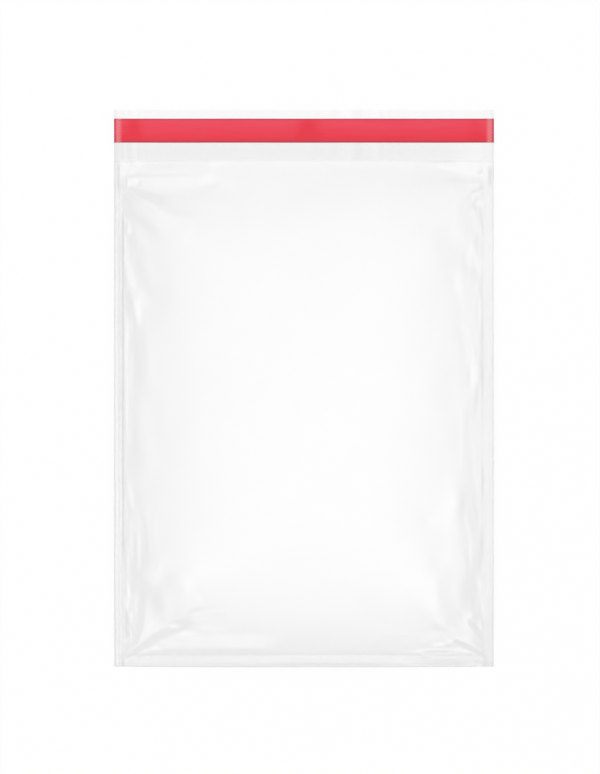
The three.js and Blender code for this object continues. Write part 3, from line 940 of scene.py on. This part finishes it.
@dataclass
class BagFilm:
    """The one sheet of the bag: front panel, bottom fold, back panel and flap."""

    pocket: Pocket
    pleats: tuple[Stroke, ...]
    finish: FilmFinish = field(default_factory=FilmFinish)
    name: str = "bag_sheet"
    weld_slack: float = 0.02
    fold_reach: float = 0.6
    fold_gap: float = 0.3
    fold_rows: int = 6
    weld_columns: int = 11
    flap_rows: tuple[int, int, int] = (11, 5, 7)
    rib_height: float = 0.2
    rib_pitch: float = 2.9
    grain_height: float = 0.12
    bead_height: float = 0.1
    bead_width: float = 1.2
    lip_curl: float = 0.08
    lip_width: float = 1.4
    # Painted shade along the fold's edge, the crease beside it and its flat band, and along the mouth's cut
    # edge
    fold_edge_shade: float = 0.12
    fold_line_shade: float = 0.05
    fold_band_shade: float = 0.1
    mouth_edge_shade: float = 0.08
    band_grey: float = 0.32
    lip_clearing: float = 0.28
    rib_wander: tuple[Waviness, ...] = (Waviness(0.8, 21.0, 3), Waviness(0.5, 6.0, 4))
    grain: Waviness = Waviness(1.0, 2.1, 5)
    cockles: tuple[Cockle, ...] = (Cockle(Waviness(0.6, 47.0, 11), (2, 40), (4, 45)),
                                   Cockle(Waviness(0.16, 15.0, 12, 1.2), (1, 12), (4, 20)))
    calm: float = 0.6
    calm_run: tuple[float, float] = (25.0, 80.0)
    past_mouth: float = 12.0
    creases: tuple[Waviness, ...] = (Waviness(0.15, 10.0, 21, 3.2), Waviness(0.08, 5.0, 22, 2.4))
    crease_stretch: tuple[float, float, float, float] = (0.0, 2.5, 5.0, 15.0)
    weld_waver: tuple[Waviness, ...] = (Waviness(0.5, 13.0, 31, 0.0), Waviness(0.4, 4.0, 32))
    band_ribs: Waviness = Waviness(0.08, 1.7, 33)
    ribbed_places: tuple[tuple[float, float], ...] = ((45.0, 24.0), (-138.0, 8.0))
    band_end: tuple[float, float] = (105.0, 140.0)
    band_end_clearing: float = 0.35

    def columns(self) -> Array:
        """Grid lines across the bag: eleven over each weld, crowded beside them.

        Returns:
            Places across, in mm.
        """
        bag = self.pocket
        inner = crowded(-bag.weld_x, bag.weld_x, (0, 0.6), (13, 0.7), (30, 1.2), (60, 1.6), (85, 2.2),
                        (100, 6.0))
        weld = np.linspace(-bag.width / 2, -bag.weld_x, self.weld_columns + 1)[:-1]
        return np.concatenate([weld, inner, -weld[::-1]])

    def weld_relief(self, x: Array, y: Array) -> Array:
        """Ribs that the heat bar leaves in the welds, with a bead along the cut edge.

        Args:
            x: Places across, in mm.
            y: Places along, in mm.

        Returns:
            Heights in mm.
        """
        inset = self.pocket.width / 2 - np.abs(x)
        wander = sum(waviness.at(x, y) for waviness in self.rib_wander)
        ribs = self.rib_height / 2 * (1 - np.cos(2 * math.pi * (inset + wander) / self.rib_pitch))
        grain = self.grain_height / 2 * (1 + self.grain.at(x, y))
        bead = self.bead_height * np.clip(1 - inset / self.bead_width, 0, 1) ** 2
        inside = smooth(inset, self.pocket.weld + 0.4, self.pocket.weld - 1.0)
        return (ribs + grain) * inside + bead

    def cockle(self, x: Array, y: Array) -> Array:
        """Slack waviness of the puffed film, none at the welds and calmer in the middle.

        Args:
            x: Places across, in mm.
            y: Places along, in mm.

        Returns:
            Heights in mm.
        """
        from_weld = np.maximum(self.pocket.weld_x - np.abs(x), 0)
        from_end = np.minimum(y - self.pocket.fold_y, self.pocket.mouth_y + self.past_mouth - y)
        near = 1 - self.calm * smooth(np.minimum(from_weld, from_end), *self.calm_run)
        return near * sum(cockle.waviness.at(x, y) * smooth(from_weld, *cockle.from_weld)
                          * smooth(from_end, *cockle.from_end) for cockle in self.cockles)

    def crumple(self, x: Array, y: Array) -> Array:
        """Small creases that run down beside the welds, where the heat has drawn the film in.

        Args:
            x: Places across, in mm.
            y: Places along, in mm.

        Returns:
            Heights in mm.
        """
        from_weld = np.maximum(self.pocket.weld_x - np.abs(x), 0)
        creases = sum(waviness.at(x, y) for waviness in self.creases)
        return creases * stretch(from_weld, *self.crease_stretch) * smooth(y - self.pocket.fold_y, 6, 14)

    def under(self, x: Array, y: Array) -> Array:
        """Height of the middle of the back panel and the flap, in mm."""
        return self.pocket.back(x, y) + self.pocket.film / 2 + self.weld_relief(x, y)

    def front(self, columns: Array) -> tuple[Array, Array]:
        """Lays out the front panel from the mouth down to the fold.

        Args:
            columns: Grid lines across the bag.

        Returns:
            Points of its middle face in mm and the painted shade along its sharp creases, by row and
            column.
        """
        bag = self.pocket
        relief = Relief(bag)
        for stroke in self.pleats:
            relief.press(stroke)
        relief.settle()
        rows = crowded(bag.mouth_y, bag.fold_y + self.fold_reach, (0, 0.7), (24, 0.8), (50, 2.0), (90, 4.0))
        x, y = np.meshgrid(columns, rows)
        curl = self.lip_curl * np.clip(1 - (bag.mouth_y - y) / self.lip_width, 0, 1) ** 2
        clear = relief.sample(relief.heights, x, y) - bag.back(x, y)
        clear = clear + self.cockle(x, y) + self.crumple(x, y) - curl
        fold_open = self.fold_gap * smooth(bag.weld_x - np.abs(x), 0, 12)
        clear = np.maximum(clear, np.maximum(self.weld_slack, fold_open * smooth(y - bag.fold_y, 20, 0)))
        painted_crease_shade = relief.sample(relief.painted_crease_shade, x, y) * (np.abs(x) < bag.weld_x)
        return np.stack([x, y, self.under(x, y) + bag.film + clear], -1), painted_crease_shade

    def rest(self, columns: Array) -> Array:
        """Lays out the back panel from the fold up, and the flap past it.

        Args:
            columns: Grid lines across the bag.

        Returns:
            Points of its middle face in mm, by row and column.
        """
        bag = self.pocket
        back = crowded(bag.fold_y + self.fold_reach, bag.mouth_y, (0, 2.0), (10, 3.0), (40, 20.0))
        stops = (bag.mouth_y, bag.liner_low_y, bag.liner_top_y, bag.top_y)
        flap = [np.linspace(low, high, rows + 1)[1:]
                for low, high, rows in zip(stops, stops[1:], self.flap_rows)]
        x, y = np.meshgrid(columns, np.concatenate([back, *flap]))
        return np.stack([x, y, self.under(x, y)], -1)

    def turn(self, top: Array, low: Array) -> Array:
        """Turns the sheet from the front panel to the back panel.

        Args:
            top: Points of the front panel's last row.
            low: Points of the back panel's first row.

        Returns:
            Points of the fold's middle face in mm, by row and column.
        """
        middle, half = (top[:, 2] + low[:, 2]) / 2, (top[:, 2] - low[:, 2]) / 2
        angles = np.linspace(0, math.pi, self.fold_rows + 2)[1:-1]
        return np.stack([np.stack([top[:, 0], top[:, 1] - self.fold_reach * math.sin(angle),
                                   middle + half * math.cos(angle)], -1) for angle in angles])

    def middle(self) -> tuple[Array, Array]:
        """Lays the sheet out from the mouth down the front, round the fold and up the back to the flap.

        Returns:
            Points of its middle face in metres and the greying and painted shade of each, by row and
            column.
        """
        columns = self.columns()
        front, painted_crease_shade = self.front(columns)
        rest = self.rest(columns)
        places = np.concatenate([front, self.turn(front[-1], rest[0]), rest])
        is_front = np.arange(len(places)) < len(front)
        greying_and_painted_shade = self.greying_and_painted_shade(places[..., 0], places[..., 1], is_front[:, None])
        # Painted shade along the sharp creases is added to the front panel's grey
        greying_and_painted_shade[:len(front)] = np.clip(greying_and_painted_shade[:len(front)] + painted_crease_shade, 0, 1)
        return places * MM, greying_and_painted_shade

    def greying_and_painted_shade(self, x: Array, y: Array, is_front: Array) -> Array:
        """Greying of the film at its welds and closure band, with painted shade along its cut edges, fold
        and mouth.

        Args:
            x: Places across, in mm.
            y: Places along, in mm.
            is_front: True for the points of the front panel.

        Returns:
            Values from 0, clear, to 1, fully greyed.
        """
        bag = self.pocket
        inset = bag.width / 2 - np.abs(x)
        waver = 1 + sum(waviness.at(x, y) for waviness in self.weld_waver)
        left, right = (weld.at(bag, inset, y, waver) for weld in (LEFT_WELD, RIGHT_WELD))
        up = y - bag.fold_y
        in_band = smooth(up, bag.fold_band + 3, bag.fold_band - 2) * smooth(inset, 2, 9)
        # Painted shade along the fold and along the mouth's cut edge
        fold = (self.fold_edge_shade * bell(up, 0, 1.1) + self.fold_line_shade * bell(up, 2.4, 0.7)
                + self.fold_band_shade * in_band)
        mouth = self.mouth_edge_shade * is_front * bell(y, bag.mouth_y, 0.9)
        ribs = self.band_ribs.at(x, 0 * y) * sum(bell(x, *place) for place in self.ribbed_places)
        band = (self.band_grey + ribs) * ~is_front * smooth(y, bag.mouth_y - 0.5, bag.mouth_y + 0.5)
        at_end = smooth(x, *self.band_end) * smooth(y, bag.liner_low_y + 9, bag.liner_low_y)
        band = band * (1 - self.band_end_clearing * at_end)
        lip = -self.lip_clearing * smooth(y, bag.liner_top_y - 0.5, bag.liner_top_y + 0.5)
        return np.clip(np.where(x < 0, left, right) + fold + mouth + band + lip, 0, 1)

    def build(self) -> Object:
        """Models the sheet and gives it its thickness.

        Returns:
            The piece.
        """
        places, greying_and_painted_shade = self.middle()
        sheet = sheet_object(self.name, places, self.pocket.film * MM)
        give_attribute(sheet, "greying_and_painted_shade", greying_and_painted_shade)
        apply_thickness(sheet)
        return sheet

    def dress(self, sheet: Object) -> None:
        """Gives the sheet its finish and its place in the part.

        Args:
            sheet: The piece.
        """
        sheet.data.materials.append(self.finish.material())
        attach(sheet, BODY)
        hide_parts("bag_film")


@dataclass
class ClosureTape:
    """A strip across the flap that follows its waves, as the glue band does."""

    pocket: Pocket
    name: str
    node: str
    slot: Slot
    low_y: float
    high_y: float
    under: float
    thickness: float
    rows: int = 32
    end_columns: int = 24
    middle_columns: int = 120
    end_width: float = 4.0
    seat: float = 0.004

    def places(self) -> Array:
        """Lays the strip on the flap.

        Returns:
            Points of its middle face in metres, by row and column.
        """
        bag = self.pocket
        inner = bag.width / 2 - self.end_width
        end = np.linspace(-bag.width / 2, -inner, self.end_columns)[:-1]
        columns = np.concatenate([end, np.linspace(-inner, inner, self.middle_columns), -end[::-1]])
        x, y = np.meshgrid(columns, np.linspace(self.low_y, self.high_y, self.rows))
        on_film = BagFilm(bag, ()).weld_relief(x, y) + bag.back(x, y) + bag.film
        return np.stack([x, y, on_film + self.under + self.seat + self.thickness / 2], -1) * MM

    def tones(self, x: Array, y: Array) -> dict[str, Array]:
        """Values by name that the finish reads from the strip: none for plain glue."""
        return {}

    def build(self) -> Object:
        """Models the strip with its tones and its thickness.

        Returns:
            The piece.
        """
        places = self.places()
        strip = sheet_object(self.name, places, (self.thickness - self.seat) * MM)
        for name, values in self.tones(places[..., 0] / MM, places[..., 1] / MM).items():
            give_attribute(strip, name, values)
        apply_thickness(strip)
        return strip

    def dress(self, strip: Object, material: Material) -> None:
        """Gives the strip its finish and its place in the part.

        Args:
            strip: The piece.
            material: Its finish.
        """
        strip.data.materials.append(material)
        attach(strip, BODY)
        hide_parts(self.node)


@dataclass
class PeelLiner(ClosureTape):
    """The liner on the glue: painted shade along its rims, deeper red in worn patches, and press marks at
    its ends.
    """

    # Painted shade along the long rims and at the ends
    rim_shade: float = 0.9
    rim_widths: tuple[float, float] = (1.9, 1.0)
    end_rim_shade: float = 0.9
    worn_grey: float = 0.08
    worn_patches: tuple[tuple[float, float, float], ...] = ((3, 8, 1.0), (-135, 6, 1.0), (136, 6, 0.4))
    dot_pitch: float = 2.4
    dot_level: float = 0.65
    dot_depth: float = 0.5
    dot_stretch: tuple[float, float, float, float] = (1.0, 2.2, 4.6, 6.2)

    def tones(self, x: Array, y: Array) -> dict[str, Array]:
        """Values that the finish reads from the liner.

        Args:
            x: Places across, in mm.
            y: Places along, in mm.

        Returns:
            Painted shade along its edges with darker worn patches, a painted lighter top, and press marks,
            by name.
        """
        inset = self.pocket.width / 2 - np.abs(x)
        low_rim, high_rim = self.rim_widths
        rims = self.rim_shade * (bell(y, self.low_y, low_rim) + bell(y, self.high_y, high_rim))
        worn = sum(depth * bell(x, middle, width) for middle, width, depth in self.worn_patches)
        turn = 2 * math.pi / self.dot_pitch
        dots = self.dot_level + self.dot_depth * np.cos(turn * y) * np.cos(turn * inset)
        # The edge value is painted shade along the rims and ends, with the worn patches a little darker
        return {"edge": np.clip(rims + self.worn_grey * worn + bell(inset, 0, self.end_rim_shade), 0, 1),
                # Painted light: the liner is lighter towards its top, less in the worn patches
                "lit_top_and_wear": smooth(y, self.low_y + 2, self.high_y - 1) - worn,
                "press": dots * stretch(inset, *self.dot_stretch)}


@dataclass
class Studio:
    """Plain white table under soft light, with the camera straight above."""

    floor_size: float = 8.0
    floor_drop: float = 0.0003
    floor_colour: str = "FAFAFA"
    floor_glow: float = 0.95
    sky: tuple[tuple[float, float], ...] = (
        (0, 1.79), (8.5, 1.6), (16.4, 1.39), (21.5, 1.22), (30, 0.95), (40, 0.56), (50, 0.2), (72, 0.17),
        (80, 0.7), (90, 1.1))
    sky_lean: tuple[float, float] = (2.6, -2.2)
    fill: float = 0.8
    lens: float = 100.0
    camera_place: tuple[float, float, float] = (-0.00316, 0.00103, 1.700)
    softbox_place: tuple[float, float, float] = (-0.4, 0.5, 1.8)
    softbox_size: float = 1.4
    softbox_power: float = 5.0

    def floor(self) -> Object:
        """Lays the table. It glows a little for the eye, to show white and still take the shadow.

        Returns:
            The table.
        """
        bpy.ops.object.select_all(action="DESELECT")
        bpy.ops.mesh.primitive_grid_add(x_subdivisions=4, y_subdivisions=4, size=self.floor_size)
        table = bpy.context.active_object
        table.name = "table"
        table.data.vertices.foreach_set(
            "co", np.array([(v.co.x, v.co.y, -self.floor_drop) for v in table.data.vertices]).reshape(-1))
        material, tree, shader = new_material("painted_white_table")
        tree.nodes.remove(shader)
        path = add_node(tree, "ShaderNodeLightPath")
        seen = add_node(tree, "ShaderNodeMath", {"operation": "MAXIMUM"},
                        {0: path.outputs["Is Camera Ray"], 1: path.outputs["Is Glossy Ray"]})
        seen = add_node(tree, "ShaderNodeMath", {"operation": "MAXIMUM"},
                        {0: seen.outputs[0], 1: path.outputs["Is Transmission Ray"]})
        share = add_node(tree, "ShaderNodeMath", {"operation": "MULTIPLY"},
                         {0: seen.outputs[0], 1: self.floor_glow})
        paint = add_node(tree, "ShaderNodeBsdfDiffuse", None, {"Color": linear(self.floor_colour)})
        glow = add_node(tree, "ShaderNodeEmission", None, {"Color": (1.0, 1.0, 1.0, 1.0)})
        mixed = add_node(tree, "ShaderNodeMixShader", None,
                         {0: share.outputs[0], 1: paint.outputs[0], 2: glow.outputs[0]})
        tree.links.new(mixed.outputs[0], tree.nodes["Material Output"].inputs["Surface"])
        table.data.materials.append(material)
        return table

    def light(self) -> None:
        """Lights the table: soft fill, and for gloss a bright ceiling, a dark ring and pale walls."""
        world = bpy.data.worlds.new("studio")
        bpy.context.scene.world = world
        world.use_nodes = True
        tree = world.node_tree
        background = tree.nodes["Background"]
        place = add_node(tree, "ShaderNodeTexCoord")
        zenith = Vector([math.tan(math.radians(lean)) for lean in self.sky_lean] + [1.0]).normalized()
        height = add_node(tree, "ShaderNodeVectorMath", {"operation": "DOT_PRODUCT"},
                          {0: place.outputs["Generated"], 1: zenith})
        ramp = add_node(tree, "ShaderNodeValToRGB", None, {0: height.outputs["Value"]})
        while len(ramp.color_ramp.elements) < len(self.sky):
            ramp.color_ramp.elements.new(0.5)
        brightest = max(level for _, level in self.sky)
        for element, (down, level) in zip(ramp.color_ramp.elements, reversed(self.sky)):
            element.position = math.cos(math.radians(down))
            element.color = (level / brightest, level / brightest, level / brightest, 1.0)
        gloss = add_node(tree, "ShaderNodeMath", {"operation": "MULTIPLY"},
                         {0: ramp.outputs[0], 1: brightest})
        path = add_node(tree, "ShaderNodeLightPath")
        level = add_node(tree, "ShaderNodeMix", {"data_type": "FLOAT"},
                         {0: path.outputs["Is Glossy Ray"], 2: self.fill, 3: gloss.outputs[0]})
        tree.links.new(level.outputs[0], background.inputs["Strength"])
        background.inputs["Color"].default_value = (1.0, 1.0, 1.0, 1.0)
        self.softbox()

    def softbox(self) -> None:
        """Hangs a round lamp that points at the bag and isn't seen in its gloss."""
        data = bpy.data.lights.new("softbox", "AREA")
        data.shape = "DISK"
        data.size = self.softbox_size
        data.energy = self.softbox_power
        lamp = bpy.data.objects.new("softbox", data)
        bpy.context.scene.collection.objects.link(lamp)
        lamp.location = self.softbox_place
        lamp.rotation_euler = Vector(self.softbox_place).to_track_quat("Z", "Y").to_euler()
        lamp.visible_camera = lamp.visible_glossy = lamp.visible_transmission = False

    def camera(self) -> None:
        """Sets the camera straight above the bag, with the flap at the top."""
        lens = bpy.data.cameras.new("camera")
        lens.lens = self.lens
        camera = bpy.data.objects.new("camera", lens)
        bpy.context.scene.collection.objects.link(camera)
        camera.location = self.camera_place
        camera.rotation_euler = (0.0, 0.0, 0.0)
        bpy.context.scene.camera = camera
        bpy.context.scene.view_settings.view_transform = "Standard"


def main() -> None:
    """Builds the bag's pieces in order, then the studio."""
    bag = Pocket()
    film = BagFilm(bag, PLEATS)
    sheet = film.build()
    film.dress(sheet)
    LOG.info("sheet: %d faces", len(sheet.data.polygons))
    glue = ClosureTape(bag, "glue_band", "adhesive_strip", Slot.GLUE, bag.liner_low_y + bag.glue_margin,
                       bag.liner_top_y - bag.glue_margin, 0.0, bag.glue_thickness)
    band = glue.build()
    glue.dress(band, GlueFinish().material())
    liner = PeelLiner(bag, "peel_liner", "release_liner", Slot.LINER, bag.liner_low_y, bag.liner_top_y,
                      bag.glue_thickness, bag.liner_thickness)
    strip = liner.build()
    liner.dress(strip, LinerFinish().material())
    LOG.info("closure: %d and %d faces", len(band.data.polygons), len(strip.data.polygons))
    studio = Studio()
    studio.floor()
    studio.light()
    studio.camera()


if __name__ == "__main__":
    main()
